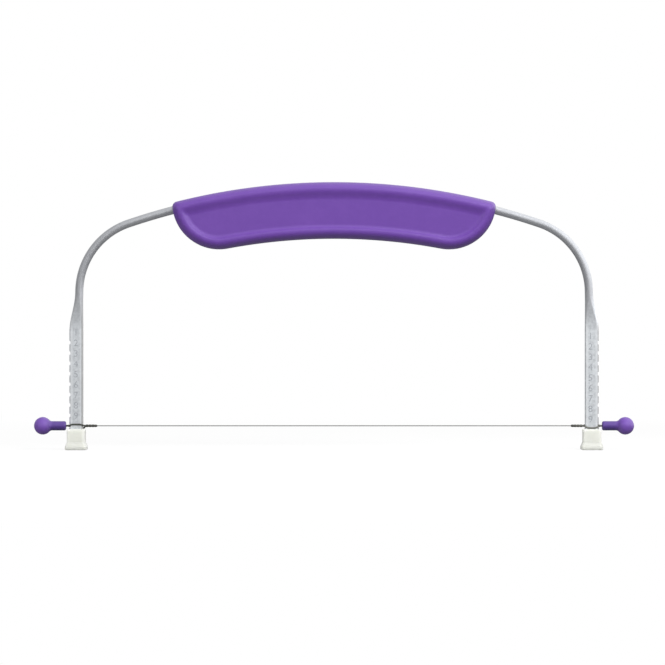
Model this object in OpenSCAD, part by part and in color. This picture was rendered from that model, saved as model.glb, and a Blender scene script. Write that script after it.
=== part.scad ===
// Cake leveler: a steel bow whose flattened, notched legs carry a taut cutting wire at a chosen height.
// Millimetres. +Z up, +X along the wire, -Y is the side with the numbers. The feet stand on Z = 0.

/* [Bow] */
// Diameter of the round rod
rod_d = 4.7; // [4.4:0.1:5]
// Inner edge of each leg, from the middle of the bow
leg_inner_x = 145.4; // [143:0.1:150]
// Width of the flattened leg
blade_w = 8.1; // [7.8:0.1:9]
// Thickness of the flattened leg
blade_t = 2; // [1.8:0.05:2.05]
// Radius of the flattened leg's long edges
blade_edge_r = 0.9; // [0.5:0.05:0.9]
// Height below which the leg is fully flat
blade_top_z = 68; // [66:0.5:72]
// Centre-line radius of the two shoulder bends
shoulder_r = 42; // [39:0.5:44]
// Centre-line radius of the long bend under the handle
crown_r = 371; // [365:1:377]
// Height of the rod's centre line in the middle of the bow
crown_z = 150.9; // [149:0.1:154]

/* [Notches] */
// Height of the lowest notch, where the wire rests
first_notch_z = 13.9; // [13.8:0.1:14.4]
// Distance from one notch to the next
notch_pitch = 6.03; // [5.8:0.01:6.2]
// How many notches each leg has
notch_count = 9; // [3:1:9]
// How far a notch cuts into the outer edge
notch_depth = 0.65; // [0.6:0.05:0.8]
// Height of a notch at its open side
notch_mouth = 2.4; // [2.3:0.1:2.8]
// Height of a notch at its bottom
notch_floor = 1.4; // [1.3:0.1:1.8]

/* [Handle] */
// Thickness of the whole handle, front to back
handle_t = 20; // [18:0.5:22]
// Rod centre line to the handle's upper edge
handle_cover = 4.2; // [4.1:0.1:4.8]
// Height of the handle in its middle
handle_h = 32.7; // [31:0.1:34]
// Radius of the hollow lower edge
grip_r = 338; // [328:1:348]
// Radius of the handle's round ends
end_r = 27; // [26:0.1:28]
// Distance of each round end's centre from the middle
end_x = 66.8; // [65:0.1:68]
// Radius of the two upper corners
corner_r = 3.2; // [2:0.1:3.6]
// How far in from the outline the raised rim has its crest
rim_crest = 4.35; // [4:0.05:4.8]
// How far in from the outline the sunken panel starts
panel_inset = 8; // [7.6:0.1:8.6]
// How far the panel lies below the rim
panel_recess = 1.5; // [1:0.1:2]
// How much lower the panel sits than midway between the upper and the lower rim
panel_drop = 1; // [0:0.1:1.4]
// Wall thickness of the two shells
shell_wall = 2.4; // [2:0.1:2.8]

/* [Wire and hooks] */
// Diameter of the cutting wire
wire_d = 0.5; // [0.4:0.05:0.5]
// Diameter of the wire that the hook loops are bent from
strand_d = 0.96; // [0.9:0.02:0.98]
// Sideways offset of each strand where it passes the leg
strand_y = 1.65; // [1.62:0.01:1.8]
// How far the left loop's strands climb and drop as they pass the leg
left_lift = 0.8; // [0.4:0.05:1.2]
// How far the right loop's strands climb and drop as they pass the leg
right_lift = 1.2; // [0.4:0.05:1.2]
// Length of a ferrule
ferrule_l = 6.6; // [6.4:0.1:8]

/* [Knobs and feet] */
// Diameter of the knob's ball
ball_d = 10.2; // [9:0.1:11]
// Diameter of the knob's neck
neck_d = 5.4; // [4.4:0.1:5.6]
// Ball centre to the end of the neck
knob_reach = 13.5; // [12.6:0.1:14.5]
// Height of a foot
foot_h = 12; // [11:0.1:12]
// Width of a foot at its top, along the wire
foot_w = 10.4; // [10.2:0.1:12]
// Width of a foot's flared base, along the wire
foot_base_w = 12.4; // [12.2:0.1:15]
// Depth of a foot at its top, front to back
foot_depth = 13; // [11:0.5:14]
// Depth of a foot's flared base, front to back
foot_base_depth = 16; // [15:0.5:20]

/* [Hidden] */
$fn = 64;
purple = [0.44, 0.30, 0.64];
steel = [0.77, 0.78, 0.80];
dark_steel = [0.30, 0.30, 0.29];
milky = [0.90, 0.90, 0.87];

// Bow: each leg is tangent to its shoulder, and each shoulder to the crown.
rod_r = rod_d / 2;
rod_x = leg_inner_x + rod_r;
leg_outer_x = leg_inner_x + blade_w;
leg_mid_x = leg_inner_x + blade_w / 2;
crown_centre_z = crown_z - crown_r;
shoulder_x = rod_x - shoulder_r;
shoulder_z = crown_centre_z + sqrt(pow(crown_r - shoulder_r, 2) - pow(shoulder_x, 2));
shoulder_turn = atan2(shoulder_z - crown_centre_z, shoulder_x);
blade_end_z = 2.5;
rod_sides = 24;
taper_steps = 12;
shoulder_steps = 12;
half_crown_steps = 12;

// Handle: the long top arc and the round ends meet at the small upper corners.
half_t = handle_t / 2;
top_r = crown_r + handle_cover;
grip_centre_z = crown_z + handle_cover - handle_h - grip_r;
end_z = grip_centre_z + sqrt(pow(grip_r + end_r, 2) - pow(end_x, 2));
grip_turn = atan2(end_z - grip_centre_z, end_x);
seam_groove = 0.25;
side_y = 3;
edge_steps = 8;
slope_steps = 6;
slope_start = rim_crest + 0.25;
channel_play = 0.05;
cavity_depth = half_t - panel_recess - shell_wall;
rib_t = 2;
rib_xs = [-84, -46.5, -15.5, 15.5, 46.5, 84];
boss_xs = [-62, 0, 62];
boss_rise = 13.5;
boss_r = 3.4;
peg_r = 1.6;
peg_l = 3.2;
socket_play = 0.02;

// Hooks: the strands lie side by side in the ferrule and in the knob, and open out round the leg.
wire_z = first_notch_z;
strand_r = strand_d / 2;
strand_sides = 10;
tail_y = strand_r + 0.04;
throat = 1.4;
throat_lead = 0.2;
throat_lift = 0.25;
bend_cut = 0.35;
pocket_play = 0.02;
tail_l = 2.7;
knob_tail_l = 5.2;
ferrule_x = leg_inner_x - throat;
ferrule_r = 0.8;
ferrule_half_y = 0.6;
wire_grip = 2.6;
wire_bore_l = 3.4;
wire_play = 0.04;
neck_end_x = leg_outer_x + 1.9;
ball_x = neck_end_x + knob_reach;
neck_edge = 1;
neck_blend_r = 2.2;

// Feet
foot_flange_z = 1.8;
foot_body_z = 4.8;
foot_bevel = 0.6;
foot_play = 0.02;

function mix(a, b, u) = a + (b - a) * u;
function ease(u) = u * u * (3 - 2 * u);
function unit(v) = v / norm(v);
function backwards(list) = [for (i = [len(list) - 1:-1:0]) list[i]];
function mirrored(ring) = [for (p = ring) [-p[0], p[1], p[2]]];

function arc(c, r, from, to, steps) = [for (i = [0:steps - 1]) let (a = mix(from, to, i / steps))
    [c[0] + r * cos(a), c[1] + r * sin(a)]];

// Where two circles meet, on the right of the line from c1 to c2
function circles_meet(c1, r1, c2, r2) =
    let (d = c2 - c1, l = norm(d), a = (r1 * r1 - r2 * r2 + l * l) / (2 * l), h = sqrt(r1 * r1 - a * a))
    c1 + d / l * a + [d[1], -d[0]] / l * h;

// Closed skin over rings of equal, even count. Each ring turns left as seen from the ring after it.
module skin(rings) {
    n = len(rings[0]);
    last = (len(rings) - 1) * n;
    cap = [for (i = [0:n / 2 - 2]) each [[i, i + 1, n - 1 - i], [i + 1, n - 2 - i, n - 1 - i]]];
    polyhedron(
        points = [for (ring = rings) each ring],
        faces = concat(cap,
            [for (k = [0:len(rings) - 2]) for (i = [0:n - 1])
                let (a = k * n + i, b = k * n + (i + 1) % n) each [[a, a + n, b + n], [a, b + n, b]]],
            [for (f = cap) [last + f[2], last + f[1], last + f[0]]]));
}

// Stadium-shaped bar along X: two round sides, half_y either way from the middle
module oval_bar(x1, x2, half_y, r) {
    translate([x1, 0, wire_z]) rotate([90, 0, 90]) linear_extrude(x2 - x1) {
        for (s = [-1, 1]) translate([s * half_y, 0]) circle(r = r);
        translate([-half_y, -r]) square([2 * half_y, 2 * r]);
    }
}

module on_side(side) {
    if (side > 0) children();
    else mirror([1, 0, 0]) children();
}

// One cross-section of a leg: a rectangle w by t with corner radius c
function leg_ring(z, w, t, c) = [for (i = [0:rod_sides - 1]) let (a = (i + 0.5) * 360 / rod_sides)
    [leg_inner_x + w / 2 + sign(cos(a)) * (w / 2 - c) + c * cos(a),
     sign(sin(a)) * (t / 2 - c) + c * sin(a), z]];

// One cross-section of the rod, at an angle round a bend's centre
function bend_ring(cx, cz, bend_r, turn) = [for (i = [0:rod_sides - 1])
    let (a = (i + 0.5) * 360 / rod_sides, reach = bend_r + rod_r * cos(a))
    [cx + reach * cos(turn), rod_r * sin(a), cz + reach * sin(turn)]];

half_bow = concat(
    [leg_ring(blade_end_z, blade_w, blade_t, blade_edge_r)],
    [for (i = [0:taper_steps]) let (u = i / taper_steps, s = ease(u))
        leg_ring(mix(blade_top_z, shoulder_z, u), mix(blade_w, rod_d, s), mix(blade_t, rod_d, s),
                 mix(blade_edge_r, rod_r, s))],
    [for (i = [1:shoulder_steps])
        bend_ring(shoulder_x, shoulder_z, shoulder_r, shoulder_turn * i / shoulder_steps)],
    [for (i = [1:half_crown_steps])
        bend_ring(0, crown_centre_z, crown_r, mix(shoulder_turn, 90, i / half_crown_steps))]);

module notches() {
    slant = notch_mouth - notch_floor;
    for (i = [0:notch_count - 1])
        translate([leg_outer_x - notch_depth, blade_t, first_notch_z + i * notch_pitch]) rotate([90, 0, 0])
            linear_extrude(2 * blade_t) polygon([
                [0, -notch_floor / 2], [2 * notch_depth, -notch_floor / 2 - slant],
                [2 * notch_depth, notch_floor / 2 + slant], [0, notch_floor / 2]]);
}

module bow() {
    left_half = [for (i = [len(half_bow) - 2:-1:0]) mirrored(half_bow[i])];
    color(steel) difference() {
        skin(concat(half_bow, left_half));
        for (side = [-1, 1]) on_side(side) notches();
    }
}

// The handle's outline drawn in by d, as [x, z] points: the lower edge rightwards, then the upper edge back
function outline(d) =
    let (corner = max(corner_r - d / 4, 1.2), right = [end_x, end_z],
         f = circles_meet([0, crown_centre_z], top_r - d - corner, right, end_r - d - corner),
         to_end = atan2(f[1] - end_z, f[0] - end_x), to_top = atan2(f[1] - crown_centre_z, f[0]))
    concat(
        arc([-end_x, end_z], end_r - d, 180 - to_end, 360 - grip_turn, 10),
        arc([0, grip_centre_z], grip_r + d, 180 - grip_turn, grip_turn, 16),
        arc(right, end_r - d, grip_turn - 180, to_end, 10),
        arc(f, corner, to_end, to_top, 5),
        arc([0, crown_centre_z], top_r - d, to_top, 180 - to_top, 26),
        arc([-f[0], f[1]], corner, 180 - to_top, 180 - to_end, 5));

// From the parting line over the edge and the rim's crest down to the panel: [drawn in by, out by, lower by]
rim_profile = concat(
    [[seam_groove, 0, 0]],
    [[0, seam_groove, 0]],
    [for (i = [0:edge_steps]) let (a = 90 * i / edge_steps)
        [rim_crest * (1 - cos(a)), side_y + (half_t - side_y) * sin(a), 0]],
    [for (i = [0:slope_steps]) let (u = i / slope_steps)
        [mix(slope_start, panel_inset, u), half_t - panel_recess * ease(u), panel_drop * ease(u)]]);

module outline_block(inset, depth) {
    rotate([90, 0, 0]) linear_extrude(depth) polygon(outline(inset));
}

// Height of the peg bosses: a fixed rise over the lower edge
function boss_z(x) = grip_centre_z + sqrt(grip_r * grip_r - x * x) + boss_rise;

module at_bosses() {
    for (x = boss_xs) translate([x, 0, boss_z(x)]) rotate([90, 0, 0]) children();
}

module rod_channel() {
    translate([0, 0, crown_centre_z]) rotate([90, 0, 0])
        rotate_extrude(angle = 180 - 2 * shoulder_turn, start = shoulder_turn, $fn = 180)
            translate([crown_r, 0]) circle(r = rod_r + channel_play);
}

// One hollow half of the handle, on the -Y side of the parting line
module shell_half() {
    difference() {
        skin([for (p = rim_profile) [for (q = outline(p[0])) [q[0], -p[1], q[1] - p[2]]]]);
        difference() {
            translate([0, 1, 0]) outline_block(shell_wall, cavity_depth + 1);
            for (x = rib_xs)
                translate([x - rib_t / 2, -half_t, grip_centre_z + grip_r - handle_h])
                    cube([rib_t, half_t + 2, 3 * handle_h]);
            translate([0, 2, 0]) at_bosses() cylinder(h = half_t + 2, r = boss_r);
        }
        rod_channel();
    }
}

module handle_front_shell() {
    color(purple) union() {
        shell_half();
        translate([0, peg_l, 0]) at_bosses() cylinder(h = peg_l + shell_wall, r = peg_r);
    }
}

module handle_back_shell() {
    socket_l = peg_l + 0.4;
    color(purple) difference() {
        mirror([0, 1, 0]) shell_half();
        translate([0, socket_l, 0]) at_bosses() cylinder(h = socket_l + 1, r = peg_r + socket_play);
    }
}

// Half outline of a foot, bevelled above and below
function foot_outline(top_w, base_w) =
    let (right = [[base_w / 2 - foot_bevel, 0], [base_w / 2, foot_bevel], [base_w / 2, foot_flange_z],
                  [top_w / 2, foot_body_z], [top_w / 2, foot_h - foot_bevel], [top_w / 2 - foot_bevel, foot_h]])
    concat(right, [for (p = backwards(right)) [-p[0], p[1]]]);

module foot(side) {
    color(milky) on_side(side) difference() {
        translate([leg_mid_x, 0, 0]) intersection() {
            translate([0, foot_base_depth / 2, 0]) rotate([90, 0, 0])
                linear_extrude(foot_base_depth) polygon(foot_outline(foot_w, foot_base_w));
            translate([-foot_base_w / 2, 0, 0]) rotate([90, 0, 90])
                linear_extrude(foot_base_w) polygon(foot_outline(foot_depth, foot_base_depth));
        }
        translate([leg_inner_x - foot_play, -blade_t / 2 - foot_play, blade_end_z - foot_play])
            cube([blade_w + 2 * foot_play, blade_t + 2 * foot_play, foot_h]);
    }
}

module left_foot() { foot(-1); }
module right_foot() { foot(1); }

module cutting_wire() {
    half_l = ferrule_x - ferrule_l + wire_grip;
    color(steel) translate([-half_l, 0, wire_z]) rotate([0, 90, 0]) cylinder(h = 2 * half_l, r = wire_d / 2);
}

// The corner at b, cut back by t and rounded
function round_corner(a, b, c, t) = let (p = b + t * unit(a - b), q = b + t * unit(c - b))
    [for (u = [0:0.25:1]) (1 - u) * (1 - u) * p + 2 * u * (1 - u) * b + u * u * q];

function rounded(p, t) = concat([p[0]],
    [for (i = [1:len(p) - 2]) each round_corner(p[i - 1], p[i], p[i + 1], t)],
    [p[len(p) - 1]]);

// One strand from ferrule to knob: s is -1 for the front one and 1 for the back one
function strand(s, lift) = rounded([
    [ferrule_x - tail_l, s * tail_y, 0],
    [ferrule_x, s * tail_y, 0],
    [leg_inner_x - throat_lead, s * strand_y, s * throat_lift * sign(lift)],
    [leg_inner_x + 2, s * strand_y, s * lift],
    [leg_outer_x - 2, s * strand_y, s * lift],
    [leg_outer_x + throat_lead, s * strand_y, s * throat_lift * sign(lift)],
    [leg_outer_x + throat, s * tail_y, 0],
    [neck_end_x + knob_tail_l, s * tail_y, 0]], bend_cut);

// Out along the front strand, round the bight in the knob and back along the other strand
function loop_path(lift) = concat(strand(-1, lift),
    [for (a = [-75:15:75]) [neck_end_x + knob_tail_l + tail_y * cos(a), tail_y * sin(a), 0]],
    backwards(strand(1, lift)));

function tube_rings(path, r, sides) = [for (i = [0:len(path) - 1])
    let (t = unit(path[min(i + 1, len(path) - 1)] - path[max(i - 1, 0)]), across = unit(cross([0, 0, 1], t)),
         up = cross(t, across))
    [for (k = [0:sides - 1]) let (a = 360 * (k + 0.5) / sides) path[i] + r * (cos(a) * across + sin(a) * up)]];

module hook_loop(side, lift) {
    color(dark_steel) on_side(side) translate([0, 0, wire_z])
        skin(tube_rings(loop_path(lift), strand_r, strand_sides));
}

module left_hook_loop() { hook_loop(-1, -left_lift); }
module right_hook_loop() { hook_loop(1, right_lift); }

module ferrule(side) {
    inner_x = ferrule_x - ferrule_l;
    color(dark_steel) on_side(side) difference() {
        oval_bar(inner_x, ferrule_x, ferrule_half_y, ferrule_r);
        oval_bar(ferrule_x - tail_l - 0.1, ferrule_x + 1, tail_y, strand_r + pocket_play);
        translate([inner_x - 1, 0, wire_z]) rotate([0, 90, 0])
            cylinder(h = wire_bore_l + 1, r = wire_d / 2 + wire_play);
    }
}

module left_ferrule() { ferrule(-1); }
module right_ferrule() { ferrule(1); }

// Half section of a knob, its axis upright and its ball at the origin: ball, hollow blend, neck, rounded end
module knob_section() {
    ball_r = ball_d / 2;
    neck_r = neck_d / 2;
    blend_x = neck_r + neck_blend_r;
    blend_y = -sqrt(pow(ball_r + neck_blend_r, 2) - pow(blend_x, 2));
    intersection() {
        circle(r = ball_r);
        translate([0, -ball_r]) square([ball_r, ball_d]);
    }
    difference() {
        polygon([[0, blend_y], [blend_x, blend_y], [0, 0]]);
        translate([blend_x, blend_y]) circle(r = neck_blend_r);
    }
    translate([0, neck_edge - knob_reach]) square([neck_r, blend_y + knob_reach - neck_edge]);
    translate([0, -knob_reach]) square([neck_r - neck_edge, neck_edge]);
    translate([neck_r - neck_edge, neck_edge - knob_reach]) intersection() {
        circle(r = neck_edge);
        translate([0, -neck_edge]) square(neck_edge);
    }
}

module knob(side) {
    pocket_end_x = neck_end_x + knob_tail_l + tail_y + strand_r + pocket_play;
    color(purple) on_side(side) difference() {
        translate([ball_x, 0, wire_z]) rotate([0, 90, 0]) rotate_extrude() knob_section();
        oval_bar(neck_end_x - 1, pocket_end_x, tail_y, strand_r + pocket_play);
    }
}

module left_knob() { knob(-1); }
module right_knob() { knob(1); }

bow();
handle_front_shell();
handle_back_shell();
left_foot();
right_foot();
cutting_wire();
left_hook_loop();
right_hook_loop();
left_ferrule();
right_ferrule();
left_knob();
right_knob();
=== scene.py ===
import math

import bmesh
import bpy
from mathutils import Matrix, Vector


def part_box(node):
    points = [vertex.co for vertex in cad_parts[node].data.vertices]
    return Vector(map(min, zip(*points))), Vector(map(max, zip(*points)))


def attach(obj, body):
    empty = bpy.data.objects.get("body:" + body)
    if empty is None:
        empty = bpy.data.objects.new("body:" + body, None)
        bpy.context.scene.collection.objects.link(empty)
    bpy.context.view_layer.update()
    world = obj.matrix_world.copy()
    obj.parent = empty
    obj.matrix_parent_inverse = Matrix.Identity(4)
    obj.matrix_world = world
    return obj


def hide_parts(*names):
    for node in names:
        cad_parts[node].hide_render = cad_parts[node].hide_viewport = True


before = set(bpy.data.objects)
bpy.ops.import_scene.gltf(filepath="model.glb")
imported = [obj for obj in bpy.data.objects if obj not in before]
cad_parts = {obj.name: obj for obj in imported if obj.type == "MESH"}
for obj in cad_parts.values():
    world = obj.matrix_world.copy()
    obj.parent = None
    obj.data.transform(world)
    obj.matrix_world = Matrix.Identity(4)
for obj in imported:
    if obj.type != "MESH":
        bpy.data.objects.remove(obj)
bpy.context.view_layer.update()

# Metres. +Z up, +X along the cutting wire, -Y is the side with the numbers, as in the frame.
MM = 0.001
weld = 0.01 * MM


# Sizes that the frame gives

bow_low, bow_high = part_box("bow")
handle_low, handle_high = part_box("handle_back_shell")
foot_low, foot_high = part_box("right_foot")
knob_low, knob_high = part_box("right_knob")
ferrule_low, ferrule_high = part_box("right_ferrule")
wire_low, wire_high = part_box("cutting_wire")

wire_z = (wire_low.z + wire_high.z) / 2
leg_outer_x = bow_high.x
leg_mid_x = (foot_low.x + foot_high.x) / 2
blade_w = 2 * (leg_outer_x - leg_mid_x)
leg_inner_x = leg_outer_x - blade_w
half_t = handle_high.y

# Bow

rod_r = 2.35 * MM
blade_t = 2 * MM
blade_edge_r = 0.9 * MM
blade_top_z = 68 * MM
shoulder_r = 42 * MM
crown_r = 371 * MM
handle_cover = 4.2 * MM
crown_centre_z = handle_high.z - handle_cover - crown_r
rod_x = leg_inner_x + rod_r
shoulder_x = rod_x - shoulder_r
shoulder_z = crown_centre_z + math.sqrt((crown_r - shoulder_r) ** 2 - shoulder_x ** 2)
shoulder_turn = math.atan2(shoulder_z - crown_centre_z, shoulder_x)
corner_steps = 11
rod_sides = 4 * (corner_steps + 1)

# Notches and numbers

notch_pitch = 6.03 * MM
notch_count = 9
notch_depth = 0.65 * MM
notch_mouth = 2.4 * MM
notch_floor = 1.4 * MM
number_depth = 0.09 * MM

# Handle

top_r = crown_r + handle_cover
handle_h = 32.7 * MM
grip_r = 338 * MM
grip_centre_z = handle_high.z - handle_h - grip_r
end_r = 27 * MM
end_x = 66.8 * MM
end_z = grip_centre_z + math.sqrt((grip_r + end_r) ** 2 - end_x ** 2)
grip_turn = math.atan2(end_z - grip_centre_z, end_x)
corner_r = 3.2 * MM
rim_crest = 4.35 * MM
panel_inset = 9.4 * MM
panel_recess = 1.5 * MM
panel_drop = 1 * MM
side_y = 3 * MM
shell_wall = 2.4 * MM
cavity_depth = half_t - panel_recess - shell_wall
rib_t = 2 * MM
rib_xs = [x * MM for x in (-84, -46.5, -15.5, 15.5, 46.5, 84)]
boss_xs = [x * MM for x in (-62, 0, 62)]
boss_rise = 13.5 * MM
boss_r = 3.4 * MM
peg_r = 1.6 * MM
peg_l = 3.2 * MM

# Hooks

strand_r = 0.48 * MM
tail_y = 0.52 * MM
strand_y = 1.65 * MM
throat = 1.4 * MM
throat_lead = 0.2 * MM
throat_lift = 0.25 * MM
left_lift = 0.8 * MM
right_lift = 1.2 * MM
ferrule_x = ferrule_high.x
neck_end_x = knob_low.x
tail_l = 2.7 * MM
knob_tail_l = 5.2 * MM


# Modelling helpers

def mix(a, b, u):
    return a + (b - a) * u


def ease(u):
    return u * u * (3 - 2 * u)


def only(*pieces):
    """Selects these objects and nothing else."""
    if bpy.context.object and bpy.context.object.mode != "OBJECT":
        bpy.ops.object.mode_set(mode="OBJECT")
    bpy.ops.object.select_all(action="DESELECT")
    for piece in pieces:
        piece.select_set(True)
    if pieces:
        bpy.context.view_layer.objects.active = pieces[0]


def named(name):
    """Names the object that was just added."""
    piece = bpy.context.object
    piece.name = name
    piece.data.name = name
    return piece


def settle(piece):
    """Puts a piece's place, turn and scale into its mesh."""
    only(piece)
    bpy.ops.object.transform_apply(location=True, rotation=True, scale=True)
    return piece


def edit(piece, kind, test=None):
    """Opens a piece in edit mode with the parts selected whose middle and normal pass the test."""
    only(piece)
    bpy.ops.object.mode_set(mode="EDIT")
    bpy.ops.mesh.select_mode(type=kind)
    bpy.ops.mesh.select_all(action="DESELECT" if test else "SELECT")
    if test:
        mesh = bmesh.from_edit_mesh(piece.data)
        for face in mesh.faces:
            face.select = test(face.calc_center_median(), face.normal)
        bmesh.update_edit_mesh(piece.data)


def done(piece):
    """Leaves edit mode with doubles merged and every face pointing outwards."""
    only(piece)
    bpy.ops.object.mode_set(mode="EDIT")
    bpy.ops.mesh.select_all(action="SELECT")
    bpy.ops.mesh.remove_doubles(threshold=0.0005 * MM)
    bpy.ops.mesh.normals_make_consistent(inside=False)
    bpy.ops.object.mode_set(mode="OBJECT")
    return piece


def modify(piece, kind, **settings):
    only(piece)
    modifier = piece.modifiers.new(kind.lower(), kind)
    for key, value in settings.items():
        setattr(modifier, key, value)
    bpy.ops.object.modifier_apply(modifier=modifier.name)
    return piece


def smooth(piece, angle):
    """Smooth shading that leaves flat faces flat."""
    only(piece)
    bpy.ops.object.shade_smooth_by_angle(angle=math.radians(angle))
    return modify(piece, "WEIGHTED_NORMAL", keep_sharp=True, weight=60)


def draw_out(middle, size, sections):
    """Extrudes the selected face from section to section, each with its middle and its size."""
    for next_middle, next_size in sections:
        step = Vector(next_middle) - Vector(middle)
        bpy.ops.mesh.extrude_region_move(TRANSFORM_OT_translate={"value": step})
        bpy.ops.transform.resize(value=[b / a for a, b in zip(size, next_size)], center_override=next_middle)
        middle, size = next_middle, next_size


def drawn_along_x(name, sides, sections):
    """A disc drawn out along X. A section is (x, half depth, half height), centred on the wire."""
    full = [((x, 0, wire_z), (1, half_y, half_z)) for x, half_y, half_z in sections]
    only()
    bpy.ops.mesh.primitive_circle_add(vertices=sides, radius=MM, fill_type="NGON", location=full[0][0],
                                      rotation=(0, math.pi / 2, 0))
    piece = settle(named(name))
    edit(piece, "FACE")
    bpy.ops.transform.resize(value=(1, full[0][1][1] / MM, full[0][1][2] / MM), center_override=full[0][0])
    draw_out(*full[0], full[1:])
    return done(piece)


def loft(name, rings):
    """A disc is laid on the first ring and extruded from ring to ring, for outlines that no scaling gives."""
    only()
    bpy.ops.mesh.primitive_circle_add(vertices=len(rings[0]), radius=MM, fill_type="NGON")
    piece = named(name)
    edit(piece, "FACE")
    for number, ring in enumerate(rings):
        if number:
            bpy.ops.mesh.extrude_region_move()
        mesh = bmesh.from_edit_mesh(piece.data)
        end = next(face for face in mesh.faces if face.select)
        if number == 0:
            order = {vertex.index: place for place, vertex in enumerate(end.verts)}
        else:
            order = {vertex.index: nearest(vertex.co, rings[number - 1]) for vertex in end.verts}
        for vertex in end.verts:
            vertex.co = ring[order[vertex.index]]
        bmesh.update_edit_mesh(piece.data)
    return done(piece)


def nearest(point, ring):
    return min(range(len(ring)), key=lambda i: (Vector(ring[i]) - point).length_squared)


def cut(piece, cutter, operation="DIFFERENCE"):
    modify(piece, "BOOLEAN", operation=operation, solver="MANIFOLD", object=cutter, material_mode="TRANSFER")
    bpy.data.objects.remove(cutter)
    return piece


def joined(name, pieces):
    only(*pieces)
    bpy.ops.object.join()
    return named(name)


def mirrored_copy(piece, name, axis=0):
    """The same piece on the other side of the middle: axis 0 is left and right, 1 front and back."""
    only(piece)
    bpy.ops.object.duplicate()
    twin = named(name)
    twin.scale[axis] = -1
    return done(settle(twin))


def dress(piece, body, slot, finish, *nodes):
    """Gives a new piece its finish, the body it rides on and the nodes that it stands for."""
    if finish.material.name not in [m.name for m in piece.data.materials if m]:
        piece.data.materials.clear()
        piece.data.materials.append(finish.material)
    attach(piece, body)
    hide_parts(*nodes)
    return piece


def arc(centre, radius, start, end, steps):
    """Points along an arc in the XZ plane, as (x, z), without the last one."""
    return [(centre[0] + radius * math.cos(mix(start, end, i / steps)),
             centre[1] + radius * math.sin(mix(start, end, i / steps))) for i in range(steps)]


# Shader helpers

def srgb(red, green, blue):
    """A colour as it is read off a picture, 0 to 255, in the linear values that a shader takes."""
    return tuple(((c / 255 + 0.055) / 1.055) ** 2.4 if c > 10 else c / 3294.6
                 for c in (red, green, blue)) + (1.0,)


class Signal:
    """A socket that takes part in Python sums. Each sum adds a Math node."""

    def __init__(self, finish, socket):
        self.finish = finish
        self.socket = socket

    def math(self, operation, *values):
        return self.finish.node("ShaderNodeMath", {"operation": operation}, values)

    def __add__(self, other):
        return self.math("ADD", self, other)

    def __sub__(self, other):
        return self.math("SUBTRACT", self, other)

    def __rsub__(self, other):
        return self.math("SUBTRACT", other, self)

    def __mul__(self, other):
        return self.math("MULTIPLY", self, other)

    __radd__ = __add__
    __rmul__ = __mul__

    def size(self):
        return self.math("ABSOLUTE", self)

    def between(self, low, high):
        """0 below low and 1 above high, with a soft step between."""
        return self.finish.node("ShaderNodeMapRange", {"interpolation_type": "SMOOTHSTEP"},
                                {"Value": self, "From Min": low, "From Max": high})


class Finish:
    """A material in the making, or the world."""

    def __init__(self, name, owners=bpy.data.materials):
        self.material = owners.new(name)
        self.material.use_nodes = True
        self.tree = self.material.node_tree
        self.tree.nodes.clear()

    def node(self, kind, settings=None, values=(), output=0):
        """Adds a node: its settings first, then the values or links of its sockets."""
        made = self.tree.nodes.new(kind)
        for key, value in (settings or {}).items():
            setattr(made, key, value)
        pairs = values.items() if isinstance(values, dict) else enumerate(values)
        for key, value in pairs:
            if isinstance(value, Signal):
                self.tree.links.new(value.socket, made.inputs[key])
            else:
                made.inputs[key].default_value = value
        return Signal(self, made.outputs[output]) if made.outputs else None

    def place(self):
        """The piece's own coordinates in metres, as a vector and as X, Y and Z."""
        point = self.node("ShaderNodeTexCoord", output="Object")
        return point, *self.parts(point)

    def parts(self, vector):
        return [self.node("ShaderNodeSeparateXYZ", values=[vector], output=axis) for axis in "XYZ"]

    def vector(self, x, y, z):
        return self.node("ShaderNodeCombineXYZ", values=[x, y, z])

    def noise(self, vector, per_metre, detail, roughness=0.5):
        return self.node("ShaderNodeTexNoise", {"noise_dimensions": "3D"},
                         {"Vector": vector, "Scale": per_metre, "Detail": detail, "Roughness": roughness})

    def blend(self, amount, first, second):
        """A mix of two colours: all first at 0, all second at 1."""
        return self.node("ShaderNodeMix", {"data_type": "RGBA"}, {0: amount, 6: first, 7: second}, output=2)

    def bump(self, height, distance, strength):
        return self.node("ShaderNodeBump",
                         values={"Height": height, "Distance": distance, "Strength": strength})

    def surface(self, **values):
        """Ends the material in a Principled surface. Names stand for its sockets, with _ for a space."""
        named_values = {key.replace("_", " "): value for key, value in values.items()}
        shader = self.node("ShaderNodeBsdfPrincipled", values=named_values, output="BSDF")
        self.node("ShaderNodeOutputMaterial", values={"Surface": shader})
        return self


# Finishes

def moulded_plastic(name, tone, light_tone, roughness, shade):
    """Satin moulded plastic with flow marks, grain and rubs. shade(x, y, z) is painted shade, 1 where it is
    darkest.
    """
    finish = Finish(name)
    point, x, y, z = finish.place()
    flow = finish.noise(point, 60, 3).between(0.35, 0.7)
    cloud = finish.noise(point, 320, 4)
    grain = finish.noise(point, 2600, 2)
    rub = finish.noise(point, 900, 5, 0.65).between(0.6, 0.75)
    lightness = flow * 0.35 + cloud.between(0.4, 0.7) * 0.25 + rub * 0.12
    # Painted shade: the dark tone that shade(x, y, z) blends towards.
    painted_shade_tone = srgb(40, 8, 98)
    colour = finish.blend(shade(x, y, z), finish.blend(lightness, tone, light_tone), painted_shade_tone)
    return finish.surface(Base_Color=colour, Roughness=roughness + 0.06 * cloud - 0.06 * rub,
                          Normal=finish.bump(grain + 0.5 * cloud, 0.02 * MM, 0.35), Specular_IOR_Level=1.0)


def painted_seam_shade(x, y, z):
    """Painted shade, deeper towards the line where the two shells meet."""
    most = 0.25
    return most - most * y.size().between(0.5 * MM, 5 * MM)


def painted_neck_shade(x, y, z):
    """Painted shade, deeper on the neck, most of all on its underside."""
    fade_starts = knob_high.x - 12 * MM
    fade_ends = knob_high.x - 6 * MM
    on_neck = 1 - x.size().between(fade_starts, fade_ends)
    return on_neck * (0.9 - 0.3 * z.between(wire_z - 2.6 * MM, wire_z + MM))


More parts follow.
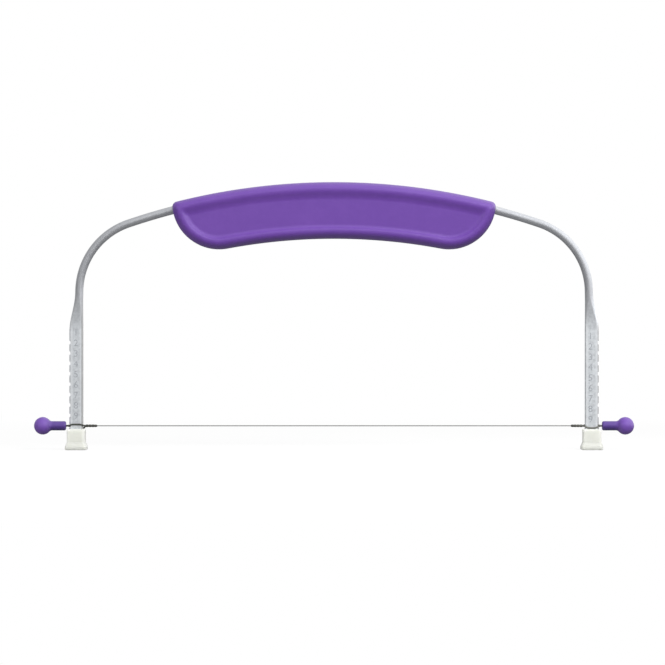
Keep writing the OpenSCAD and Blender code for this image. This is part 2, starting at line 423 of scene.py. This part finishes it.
def plated_steel():
    """Satin plated steel with draw lines and mottling: the flat legs are brighter than the round rod.

    On each leg a painted sheen lightens the flanks and painted shade darkens the right-hand edge.
    """
    finish = Finish("rod_steel")
    point, x, y, z = finish.place()
    along = finish.node("ShaderNodeAttribute", {"attribute_name": "rod_along"}, output="Fac")
    across = finish.node("ShaderNodeAttribute", {"attribute_name": "rod_across"}, output="Fac")
    lines = finish.noise(finish.vector(across, y, along * 0.015), 3800, 3)
    mottle = finish.noise(point, 650, 4, 0.6)
    patch = finish.noise(point, 90, 3).between(0.3, 0.7)
    pits = finish.noise(point, 2200, 3).between(0.7, 0.8)
    taper_l = 28 * MM
    on_leg = 1 - z.between(blade_top_z - 2 * MM, blade_top_z + taper_l)
    off_middle = (x.size() - leg_mid_x).size()
    # Painted sheen: a lighter band along each flank of the legs.
    painted_flank_sheen = off_middle.between(1.7 * MM, 2.6 * MM) * (1 - off_middle.between(3.2 * MM, 3.7 * MM))
    # Painted shade: a darker strip along each leg's right-hand edge.
    left_leg_edge = x.between(-leg_mid_x + 2.6 * MM, -leg_mid_x + 3.4 * MM) * (1 - x.between(0, MM))
    right_leg_edge = x.between(leg_mid_x + 3 * MM, leg_mid_x + 3.7 * MM)
    painted_edge_shade = left_leg_edge + right_leg_edge
    rod_tone = finish.blend(lines.between(0.3, 0.7) * 0.6 + mottle.between(0.35, 0.7) * 0.4,
                            srgb(176, 178, 183), srgb(196, 198, 202))
    leg_tone = finish.blend(mottle.between(0.3, 0.72), srgb(212, 216, 220), srgb(236, 240, 244))
    leg_tone = finish.blend(painted_flank_sheen * 0.6, leg_tone, srgb(246, 249, 252))
    leg_tone = finish.blend(painted_edge_shade * 0.7, leg_tone, srgb(150, 148, 146))
    tone = finish.blend(on_leg, rod_tone, leg_tone)
    tone = finish.blend(pits * 0.4, tone, srgb(120, 122, 124))
    roughness = 0.3 + 0.12 * mottle + 0.08 * patch + 0.08 * lines
    return finish.surface(Base_Color=tone, Metallic=0.9, Roughness=roughness,
                          Normal=finish.bump(lines * 0.4 + mottle, 0.01 * MM, 0.4))


def stamped_steel():
    """The bottom of the stamped numbers: duller than the leg, and a little darker with painted shade."""
    finish = Finish("stamped_steel")
    residue = finish.noise(finish.place()[0], 1500, 4)
    # Both tones are darker than the leg as painted shade in the recess; residue varies them.
    colour = finish.blend(residue.between(0.3, 0.7), srgb(172, 176, 182), srgb(206, 210, 215))
    return finish.surface(Base_Color=colour, Metallic=0.8, Roughness=0.45 + 0.15 * residue)


def spring_wire(name, tone, bright, right_end_painted_light, roughness):
    """Drawn spring wire with lines along X and bright rubs. Its fourth argument is painted light: how much
    lighter the right end is.
    """
    finish = Finish(name)
    point, x, y, z = finish.place()
    lines = finish.noise(finish.vector(x * 0.05, y, z), 5000, 3)
    rub = finish.noise(point, 800, 4).between(0.5, 0.72)
    # Painted light: the right end is lighter, as if more lit; the lines and rubs are wear.
    wear_and_painted_light = lines * 0.4 + rub * 0.4 + right_end_painted_light * x.between(ferrule_low.x - 2 * MM, leg_mid_x)
    return finish.surface(Base_Color=finish.blend(wear_and_painted_light, tone, bright), Metallic=0.85,
                          Roughness=roughness + 0.15 * lines, Normal=finish.bump(lines, 0.01 * MM, 0.4))


def milky_plastic():
    """Soft natural plastic that glows faintly, as painted light.

    The leg inside shows through as a faint shade, and the base is darker with painted shade.
    """
    finish = Finish("milky_plastic")
    point, x, y, z = finish.place()
    cloud = finish.noise(point, 420, 4)
    grain = finish.noise(point, 2400, 2)
    off_middle = (x.size() - leg_mid_x).size()
    above_base = z.between(3 * MM, 6 * MM)
    inside = (1 - off_middle.between(blade_w * 0.36, blade_w * 0.6)) * above_base
    shaded = inside * 0.6 + cloud.between(0.3, 0.7) * 0.3
    colour = finish.blend(shaded, srgb(212, 213, 207), srgb(205, 206, 199))
    # Painted shade: the base below the flare is darker.
    colour = finish.blend(above_base, srgb(198, 199, 193), colour)
    # Painted light: the plastic glows faintly in its own colour.
    return finish.surface(Base_Color=colour, Emission_Color=colour, Emission_Strength=0.22,
                          Roughness=0.42 + 0.1 * cloud, Subsurface_Weight=1.0,
                          Subsurface_Radius=(1.0, 1.0, 0.95), Subsurface_Scale=4 * MM,
                          Normal=finish.bump(grain + cloud, 0.02 * MM, 0.3), Specular_IOR_Level=0.35)


handle_purple = moulded_plastic("handle_purple", srgb(89, 44, 143), srgb(98, 54, 151), 0.42, painted_seam_shade)
knob_purple = moulded_plastic("knob_purple", srgb(98, 58, 154), srgb(107, 68, 162), 0.45, painted_neck_shade)
rod_steel = plated_steel()
number_steel = stamped_steel()
# The dark wire's right end is lighter with painted light.
dark_wire = spring_wire("dark_wire", srgb(58, 58, 55), srgb(122, 122, 116), 0.9, 0.4)
bright_wire = spring_wire("bright_wire", srgb(112, 112, 111), srgb(150, 150, 148), 0, 0.35)
foot_plastic = milky_plastic()


# Bow

def spun_rod(name, radius, turn, steps):
    """The bent rod under the handle, as half a tube from the middle outwards, with its far end selected."""
    only()
    bpy.ops.mesh.primitive_circle_add(vertices=rod_sides, radius=radius, rotation=(0, math.pi / 2, 0),
                                      location=(0, 0, crown_centre_z + crown_r))
    rod = settle(named(name))
    edit(rod, "VERT")
    bpy.ops.mesh.spin(steps=steps, angle=-turn, center=(0, 0, crown_centre_z), axis=(0, 1, 0))
    return rod


def make_bow():
    """Half the bow is spun from a circle, the leg is drawn up from a plate, and a bridge joins the two."""
    crown_steps = 28
    shoulder_steps = 26
    taper_cuts = 24
    bow = spun_rod("steel_bow", rod_r, math.pi / 2 - shoulder_turn, crown_steps)
    bpy.ops.mesh.spin(steps=shoulder_steps, angle=-shoulder_turn, center=(shoulder_x, 0, shoulder_z),
                      axis=(0, 1, 0))
    bpy.ops.mesh.select_all(action="DESELECT")
    foot_end = (leg_mid_x, 0, bow_low.z)
    bpy.ops.mesh.primitive_plane_add(size=1, location=foot_end)
    bpy.ops.transform.resize(value=(blade_w, blade_t, 1), center_override=foot_end)
    bpy.ops.mesh.bevel(affect="VERTICES", offset=blade_edge_r, segments=corner_steps)
    bpy.ops.mesh.extrude_region_move(TRANSFORM_OT_translate={"value": (0, 0, blade_top_z - bow_low.z)})
    bpy.ops.mesh.delete(type="ONLY_FACE")
    bpy.ops.mesh.select_mode(type="EDGE")
    mesh = bmesh.from_edit_mesh(bow.data)
    for edge in mesh.edges:
        edge.select = edge.is_boundary and edge.verts[0].co.x > shoulder_x
    bmesh.update_edit_mesh(bow.data)
    bpy.ops.mesh.bridge_edge_loops(type="SINGLE", number_cuts=taper_cuts, interpolation="SURFACE",
                                   smoothness=1)
    done(bow)
    modify(bow, "MIRROR", merge_threshold=weld)
    done(bow)
    bow.data.materials.append(rod_steel.material)
    right = notch_cutter()
    cut(bow, joined("notch_cutter", [right, mirrored_copy(right, "left_notch_cutter")]))
    cut(bow, number_cutter())
    mark_rod_length(bow)
    smooth(bow, 30)
    dress(bow, "bow", "steel", rod_steel, "bow")


def notch_cutter():
    """One wedge for each notch of the right leg, wider at its open side."""
    wedges = []
    for i in range(notch_count):
        middle = (leg_outer_x, 0, wire_z + i * notch_pitch)
        size = (2 * notch_depth, 3 * blade_t, notch_floor)
        only()
        bpy.ops.mesh.primitive_cube_add(size=1, location=middle, scale=size)
        wedge = settle(named("notch_wedge"))
        edit(wedge, "FACE", lambda place, normal: normal.x > 0.5)
        mouth = 2 * notch_mouth - notch_floor
        bpy.ops.transform.resize(value=(1, 1, mouth / notch_floor), center_override=middle)
        wedges.append(done(wedge))
    return joined("notch_cutter", wedges)


def number_cutter():
    """The digits 1 to 9 on each leg's front face, as solids that stand in its surface.

    The left leg's column stands 2 mm higher, and neither is quite in the middle of its leg."""
    proud = 0.1 * MM
    digit_size = 5.5 * MM
    least_edge = 0.02 * MM
    lift_from_notch = 3.6 * MM
    left_column = (-leg_mid_x - 0.2 * MM, 2 * MM)
    right_column = (leg_mid_x - 0.8 * MM, 0)
    digits = []
    for middle_x, lift in (left_column, right_column):
        for i in range(notch_count):
            place = (middle_x, -blade_t / 2 + (number_depth - proud) / 2,
                     wire_z + i * notch_pitch + lift_from_notch + lift)
            only()
            bpy.ops.object.text_add(location=place, rotation=(math.pi / 2, 0, 0))
            digit = bpy.context.object
            digit.data.body = str(notch_count - i)
            digit.data.align_x = "CENTER"
            digit.data.align_y = "CENTER"
            digit.data.size = digit_size
            digit.data.extrude = (number_depth + proud) / 2
            digit.data.resolution_u = 6
            bpy.ops.object.convert(target="MESH")
            settle(digit)
            edit(digit, "FACE")
            bpy.ops.mesh.remove_doubles(threshold=least_edge)
            bpy.ops.mesh.beautify_fill()
            digits.append(done(digit))
    cutter = joined("number_cutter", digits)
    cutter.data.materials.append(number_steel.material)
    return cutter


def mark_rod_length(piece):
    """Stores how far along the rod each point is, and how far across it, for the draw lines."""
    along, across = [], []
    for vertex in piece.data.vertices:
        x, z = abs(vertex.co.x), vertex.co.z
        turn = math.atan2(z - crown_centre_z, x)
        if z < shoulder_z:
            along.append(z)
            across.append(x - rod_x)
        elif turn < shoulder_turn:
            along.append(shoulder_z + shoulder_r * math.atan2(z - shoulder_z, x - shoulder_x))
            across.append(math.hypot(x - shoulder_x, z - shoulder_z) - shoulder_r)
        else:
            along.append(shoulder_z + shoulder_r * shoulder_turn + crown_r * (turn - shoulder_turn))
            across.append(math.hypot(x, z - crown_centre_z) - crown_r)
    for name, values in (("rod_along", along), ("rod_across", across)):
        piece.data.attributes.new(name, "FLOAT", "POINT").data.foreach_set("value", values)


# Handle

def circles_meet(first, first_r, second, second_r):
    """Where two circles meet, on the right of the line from the first centre to the second."""
    to_second = Vector(second) - Vector(first)
    length = to_second.length
    reach = (first_r ** 2 - second_r ** 2 + length ** 2) / (2 * length)
    rise = math.sqrt(first_r ** 2 - reach ** 2)
    along = to_second / length
    return Vector(first) + along * reach + Vector((along.y, -along.x)) * rise


def handle_outline(inset):
    """The handle's outline drawn in by inset: the lower edge rightwards, then the upper edge back."""
    least_corner_r = 1.2 * MM
    end_steps, grip_steps, corner_turn_steps, crown_steps = 28, 40, 10, 64
    corner = max(corner_r - inset / 4, least_corner_r)
    crown = (0, crown_centre_z)
    fillet = circles_meet(crown, top_r - inset - corner, (end_x, end_z), end_r - inset - corner)
    to_end = math.atan2(fillet.y - end_z, fillet.x - end_x)
    to_top = math.atan2(fillet.y - crown_centre_z, fillet.x)
    half_turn = math.pi
    return (arc((-end_x, end_z), end_r - inset, half_turn - to_end, 2 * half_turn - grip_turn, end_steps)
            + arc((0, grip_centre_z), grip_r + inset, half_turn - grip_turn, grip_turn, grip_steps)
            + arc((end_x, end_z), end_r - inset, grip_turn - half_turn, to_end, end_steps)
            + arc(fillet, corner, to_end, to_top, corner_turn_steps)
            + arc(crown, top_r - inset, to_top, half_turn - to_top, crown_steps)
            + arc((-fillet.x, fillet.y), corner, half_turn - to_top, half_turn - to_end, corner_turn_steps))


def rim_profile():
    """From the parting line over the rim down to the panel: how far in, how far out, and how much lower."""
    seam = 0.25 * MM
    crest_w = 0.2 * MM
    steepest = 0.4
    edge_steps = 16
    slope_steps = 16
    steps = [(seam, 0.01 * MM, 0), (seam * 0.35, seam * 0.5, 0), (0, seam * 1.2, 0)]
    for i in range(edge_steps + 1):
        a = math.pi / 2 * i / edge_steps
        steps.append((rim_crest * (1 - math.cos(a)), side_y + (half_t - side_y) * math.sin(a), 0))
    for i in range(1, slope_steps + 1):
        u = i / slope_steps
        fall = u ** 2 / steepest if u < steepest else 1 - (1 - u) ** 2 / (1 - steepest)
        inset = mix(rim_crest + crest_w, panel_inset, u)
        steps.append((inset, half_t - panel_recess * fall, panel_drop * fall))
    return steps


def rod_channel():
    """A slightly larger length of the bent rod, closed at its ends."""
    play = 0.12 * MM
    past_end = 5 * MM
    turn = math.asin((end_x + end_r + past_end) / crown_r)
    channel = spun_rod("rod_channel", rod_r + play, turn, 30)
    bpy.ops.mesh.edge_face_add()
    done(channel)
    modify(channel, "MIRROR", merge_threshold=weld)
    return done(channel)


def at_bosses(name, radius, back_y, front_y):
    """Three upright pins across the handle, from back_y to front_y."""
    pins = []
    for x in boss_xs:
        boss_z = grip_centre_z + math.sqrt(grip_r ** 2 - x ** 2) + boss_rise
        only()
        bpy.ops.mesh.primitive_cylinder_add(vertices=40, radius=radius, depth=back_y - front_y,
                                            location=(x, (back_y + front_y) / 2, boss_z),
                                            rotation=(math.pi / 2, 0, 0))
        pins.append(settle(named("boss_pin")))
    return joined(name, pins)


def shell_cavity():
    """The hollow of the front shell, less its ribs and bosses."""
    over = 1 * MM
    outline = handle_outline(shell_wall)
    cavity = loft("shell_cavity", [[(x, y, z) for x, z in outline] for y in (over, -cavity_depth)])
    ribs = []
    for x in rib_xs:
        only()
        bpy.ops.mesh.primitive_cube_add(size=1, location=(x, 0, handle_high.z - handle_h),
                                        scale=(rib_t, 4 * half_t, 4 * handle_h))
        ribs.append(settle(named("cavity_rib")))
    cut(cavity, joined("cavity_ribs", ribs))
    return cut(cavity, at_bosses("cavity_bosses", boss_r, 2 * over, -half_t))


def make_handle():
    """Two shells: pegs stand on the front one, and the back one has sockets for them."""
    rings = [[(x, -out, z - lower) for x, z in handle_outline(inset)] for inset, out, lower in rim_profile()]
    peg_play = 0.02 * MM
    socket_play = 0.4 * MM
    front = loft("front_grip_shell", rings)
    cut(front, shell_cavity())
    cut(front, rod_channel())
    back = mirrored_copy(front, "back_grip_shell", axis=1)
    cut(front, at_bosses("shell_pegs", peg_r, peg_l, -shell_wall), "UNION")
    cut(back, at_bosses("peg_sockets", peg_r + peg_play, peg_l + socket_play, -MM))
    for shell, node in ((front, "handle_front_shell"), (back, "handle_back_shell")):
        smooth(shell, 40)
        dress(shell, "bow", "purple_plastic", handle_purple, node)


# Feet

def make_feet():
    """A plate with round corners is drawn up into the flared cap, and then down again into the leg's slot."""
    base_w = foot_high.x - foot_low.x
    base_depth = foot_high.y - foot_low.y
    body_w = 10.4 * MM
    body_depth = 13 * MM
    top_z = foot_high.z
    flare_low_z = 1.6 * MM
    flare_high_z = 4.9 * MM
    bevel = 0.6 * MM
    corner_radius = 1.5 * MM
    slot_play = 0.1 * MM
    slot_flare = 1.2 * MM
    slot_flare_depth = 0.4 * MM
    bevel_steps = 6
    flare_steps = 14

    def level(z, width, depth):
        return (leg_mid_x, 0, z), (width, depth, 1)

    sections = []
    for i in range(bevel_steps + 1):
        a = math.pi / 2 * i / bevel_steps
        draw_in = 2 * bevel * (1 - math.sin(a))
        sections.append(level(bevel * (1 - math.cos(a)), base_w - draw_in, base_depth - draw_in))
    for i in range(flare_steps + 1):
        u = i / flare_steps
        sections.append(level(mix(flare_low_z, flare_high_z, u), mix(base_w, body_w, ease(u)),
                              mix(base_depth, body_depth, ease(u))))
    for i in range(bevel_steps + 1):
        a = math.pi / 2 * i / bevel_steps
        draw_in = 2 * bevel * (1 - math.cos(a))
        sections.append(level(top_z - bevel + bevel * math.sin(a), body_w - draw_in, body_depth - draw_in))
    sections.append(level(top_z, blade_w + slot_flare, blade_t + slot_flare))
    sections.append(level(top_z - slot_flare_depth, blade_w + slot_play, blade_t + slot_play))
    sections.append(level(bow_low.z, blade_w + slot_play, blade_t + slot_play))

    start, size = sections[0]
    only()
    bpy.ops.mesh.primitive_plane_add(size=1, location=start)
    right = settle(named("right_foot_cap"))
    edit(right, "VERT")
    bpy.ops.transform.resize(value=size, center_override=start)
    bpy.ops.mesh.bevel(affect="VERTICES", offset=corner_radius, segments=8)
    bpy.ops.mesh.select_mode(type="FACE")
    bpy.ops.mesh.select_all(action="SELECT")
    draw_out(start, size, sections[1:])
    done(right)
    left = mirrored_copy(right, "left_foot_cap")
    for foot, node in ((right, "right_foot"), (left, "left_foot")):
        smooth(foot, 40)
        dress(foot, "bow", "milky_plastic", foot_plastic, node)


# Hooks: loop, ferrule and knob

def rounded_path(points, cut_back, steps=6):
    """The path with each corner cut back and rounded."""
    path = [points[0]]
    for before, corner, after in zip(points, points[1:], points[2:]):
        start = corner + (before - corner).normalized() * cut_back
        end = corner + (after - corner).normalized() * cut_back
        for i in range(steps + 1):
            u = i / steps
            path.append((1 - u) ** 2 * start + 2 * u * (1 - u) * corner + u ** 2 * end)
    return path + [points[-1]]


def strand(side, lift, sag):
    """One strand from ferrule to knob on the right-hand hook: side is -1 in front and 1 behind.

    Across the leg the back strand is raised by lift and the front one lowered by it. Beside the leg's
    inner edge the strand dips by sag."""
    sway = side * math.copysign(throat_lift, lift)
    bend_in = 2 * MM
    bend_cut = 0.35 * MM
    points = [
        (ferrule_x - tail_l, side * tail_y, 0),
        (ferrule_x, side * tail_y, 0),
        (leg_inner_x - throat_lead, side * strand_y, sway - sag),
        (leg_inner_x + bend_in, side * strand_y, side * lift),
        (leg_outer_x - bend_in, side * strand_y, side * lift),
        (leg_outer_x + throat_lead, side * strand_y, sway),
        (leg_outer_x + throat, side * tail_y, 0),
        (neck_end_x + knob_tail_l, side * tail_y, 0)]
    return rounded_path([Vector((x, y, wire_z + z)) for x, y, z in points], bend_cut)


def hook_loop(name, lift, back_sag=0):
    """A right-hand loop: out along the front strand, round the bight in the knob and back."""
    bight = [Vector((neck_end_x + knob_tail_l + tail_y * math.cos(a), tail_y * math.sin(a), wire_z))
             for a in (math.radians(d) for d in range(-75, 76, 15))]
    path = strand(-1, lift, 0) + bight + strand(1, lift, back_sag)[::-1]
    only()
    bpy.ops.curve.primitive_bezier_curve_add()
    line = bpy.context.object
    line.data.splines.clear()
    line.data.bevel_depth = strand_r
    line.data.bevel_resolution = 6
    line.data.use_fill_caps = True
    spline = line.data.splines.new("POLY")
    spline.points.add(len(path) - 1)
    for point, place in zip(spline.points, path):
        point.co = (*place, 1)
    bpy.ops.object.convert(target="MESH")
    return done(settle(named(name)))


def make_loops():
    """Two loops that lean opposite ways. The left one's back strand dips beside the leg."""
    left_dip = 1.1 * MM
    right = hook_loop("right_hook_wire", right_lift)
    left = mirrored_copy(hook_loop("plain_hook_wire", -left_lift, left_dip), "left_hook_wire")
    bpy.data.objects.remove(bpy.data.objects["plain_hook_wire"])
    for loop, node, body in ((right, "right_hook_loop", "right_hook"), (left, "left_hook_loop", "left_hook")):
        smooth(loop, 60)
        dress(loop, body, "dark_steel", dark_wire, node)


def make_ferrules():
    """An oval sleeve with three crimps, drawn in round the wire and open at the loop's end."""
    inner_x = ferrule_low.x
    half_y = ferrule_high.y
    half_z = ferrule_high.z - wire_z
    lip = 0.12 * MM
    wall = 0.25 * MM
    wire_hole_r = 0.34 * MM
    mouth_depth = 1.2 * MM
    steps = 48
    length = ferrule_x - inner_x - 2 * lip
    crimps = (0.24, 0.5, 0.76)
    crimp_w = 0.055
    squeeze_y = 0.02
    squeeze_z = 0.16
    nose_l = 0.2
    nose_size = 0.8
    sections = [(inner_x + 0.5 * MM, 0.3 * MM, 0.3 * MM), (inner_x, wire_hole_r, wire_hole_r),
                (inner_x, half_y - 3 * lip, half_z - 2 * lip)]
    for i in range(steps + 1):
        u = i / steps
        crimp = sum(math.exp(-((u - middle) / crimp_w) ** 2) for middle in crimps)
        taper = mix(nose_size, 1, ease(min(u / nose_l, 1)))
        sections.append((inner_x + lip + length * u, half_y * taper * (1 - squeeze_y * crimp),
                         half_z * taper * (1 - squeeze_z * crimp)))
    sections += [(ferrule_x, half_y - lip, half_z - lip), (ferrule_x, half_y - wall, half_z - wall),
                 (ferrule_x - mouth_depth, half_y - wall, half_z - wall)]
    right = drawn_along_x("right_crimped_ferrule", 40, sections)
    left = mirrored_copy(right, "left_crimped_ferrule")
    for sleeve, node, body in ((right, "right_ferrule", "right_hook"), (left, "left_ferrule", "left_hook")):
        smooth(sleeve, 40)
        dress(sleeve, body, "dark_steel", dark_wire, node)


def make_knobs():
    """A disc is drawn out over the neck's rounded end, the hollow blend and the ball."""
    ball_r = knob_high.y
    ball_x = knob_high.x - ball_r
    neck_r = 2.7 * MM
    edge = 1 * MM
    blend_r = 2.2 * MM
    mouth_r = 1.15 * MM
    mouth_x = neck_end_x + 0.3 * MM
    blend_x = ball_x - math.sqrt((ball_r + blend_r) ** 2 - (neck_r + blend_r) ** 2)
    touch = math.atan2(neck_r + blend_r, blend_x - ball_x)
    outline = [(mouth_x, mouth_r * 0.4), (mouth_x, mouth_r * 0.9), (neck_end_x, mouth_r)]
    outline += [(neck_end_x + edge - x, neck_r - edge + z) for x, z in arc((0, 0), edge, 0, math.pi / 2, 6)]
    outline += [(mix(neck_end_x + edge, blend_x, i / 8), neck_r) for i in range(8)]
    outline += arc((blend_x, neck_r + blend_r), blend_r, -math.pi / 2, touch - math.pi, 12)
    outline += arc((ball_x, 0), ball_r, touch, 0, 34)
    right = drawn_along_x("right_pull_knob", 64, [(x, radius, radius) for x, radius in outline])
    left = mirrored_copy(right, "left_pull_knob")
    for knob, node, body in ((right, "right_knob", "right_hook"), (left, "left_knob", "left_hook")):
        smooth(knob, 50)
        dress(knob, body, "knob_plastic", knob_purple, node)


def make_wire():
    """The straight wire is the frame's own piece, with a drawn finish."""
    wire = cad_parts["cutting_wire"]
    wire.data.materials.clear()
    wire.data.materials.append(bright_wire.material)


# Stage, lights and camera

def seen_directly(finish):
    """1 for what the camera sees, also through clear pieces, and partly for what metal reflects."""
    camera = finish.node("ShaderNodeLightPath", output="Is Camera Ray")
    through = finish.node("ShaderNodeLightPath", output="Is Transmission Ray")
    return camera + through, finish.node("ShaderNodeLightPath", output="Is Glossy Ray")


def make_floor():
    """A floor that the camera sees as white, with part of the object's shadow close to it."""
    only()
    bpy.ops.mesh.primitive_plane_add(size=30)
    floor = named("floor")
    paper = Finish("paper_white")
    point = paper.place()[0]
    distance = paper.node("ShaderNodeVectorMath", {"operation": "LENGTH"}, [point], output="Value")
    far = distance.between(0.3, 0.8)
    direct, glossy = seen_directly(paper)
    shade = paper.blend(direct, srgb(140, 140, 140), srgb(252, 252, 252))
    lit = paper.node("ShaderNodeBsdfDiffuse", values={"Color": shade})
    glow = paper.node("ShaderNodeEmission", values={"Color": (1, 1, 1, 1), "Strength": 1.0})
    share = direct * (0.85 + 0.15 * far) + glossy * 0.08
    mixed = paper.node("ShaderNodeMixShader", values=[share, lit, glow])
    paper.node("ShaderNodeOutputMaterial", values={"Surface": mixed})
    floor.data.materials.append(paper.material)


def make_world():
    """White to the eye. As light and in reflections it is a tent, brightest up and to the right."""
    sky = Finish("studio", bpy.data.worlds)
    x, y, z = sky.parts(sky.node("ShaderNodeTexCoord", output="Generated"))
    direct, glossy = seen_directly(sky)
    upper = z.between(-0.75, 0.3)
    towards_key = (0.9 * x + 0.45 * z - 0.1 * y).between(0, 0.75)
    mirrored = 0.36 + upper * (0.62 + 0.5 * x) + 0.6 * towards_key
    ambient = 0.7 - 0.35 * z.between(0.2, 1.0) + 0.15 * x
    strength = direct + glossy * mirrored + (1 - direct - glossy) * ambient
    glow = sky.node("ShaderNodeBackground", values={"Color": (1, 1, 1, 1), "Strength": strength})
    sky.node("ShaderNodeOutputWorld", values={"Surface": glow})
    bpy.context.scene.world = sky.material


def make_lamp(name, place, size, power):
    """A soft light that faces the middle of the object. Its own image in the metal is left to the world."""
    target = Vector((0, 0, 90 * MM))
    only()
    bpy.ops.object.light_add(type="AREA", location=place)
    lamp = named(name)
    lamp.data.shape = "RECTANGLE"
    lamp.data.size = size[0]
    lamp.data.size_y = size[1]
    lamp.data.energy = power
    lamp.visible_glossy = False
    lamp.rotation_euler = (target - Vector(place)).to_track_quat("-Z", "Y").to_euler()


def make_camera():
    """Straight on, two metres away, as wide as the photograph's view."""
    distance = 2.0
    view_width = 0.3857
    aim = Vector((-0.9 * MM, 0, 68 * MM))
    only()
    bpy.ops.object.camera_add(location=aim + Vector((0, -distance, 0)), rotation=(math.pi / 2, 0, 0))
    camera = named("camera")
    camera.data.sensor_width = 36
    camera.data.lens = camera.data.sensor_width * distance / view_width
    camera.data.clip_start = 0.1
    camera.data.clip_end = 60
    bpy.context.scene.camera = camera


make_camera()
make_world()
make_floor()
make_lamp("key_light", (0.45, -0.65, 0.72), (0.6, 0.5), 9.5)
make_lamp("fill_light", (-0.8, -0.7, 0.35), (0.6, 0.6), 4)
make_lamp("back_light", (-0.6, 1.1, 0.9), (0.7, 0.6), 3)
bpy.context.scene.view_settings.view_transform = "Standard"

make_bow()
make_handle()
make_feet()
make_loops()
make_ferrules()
make_knobs()
make_wire()
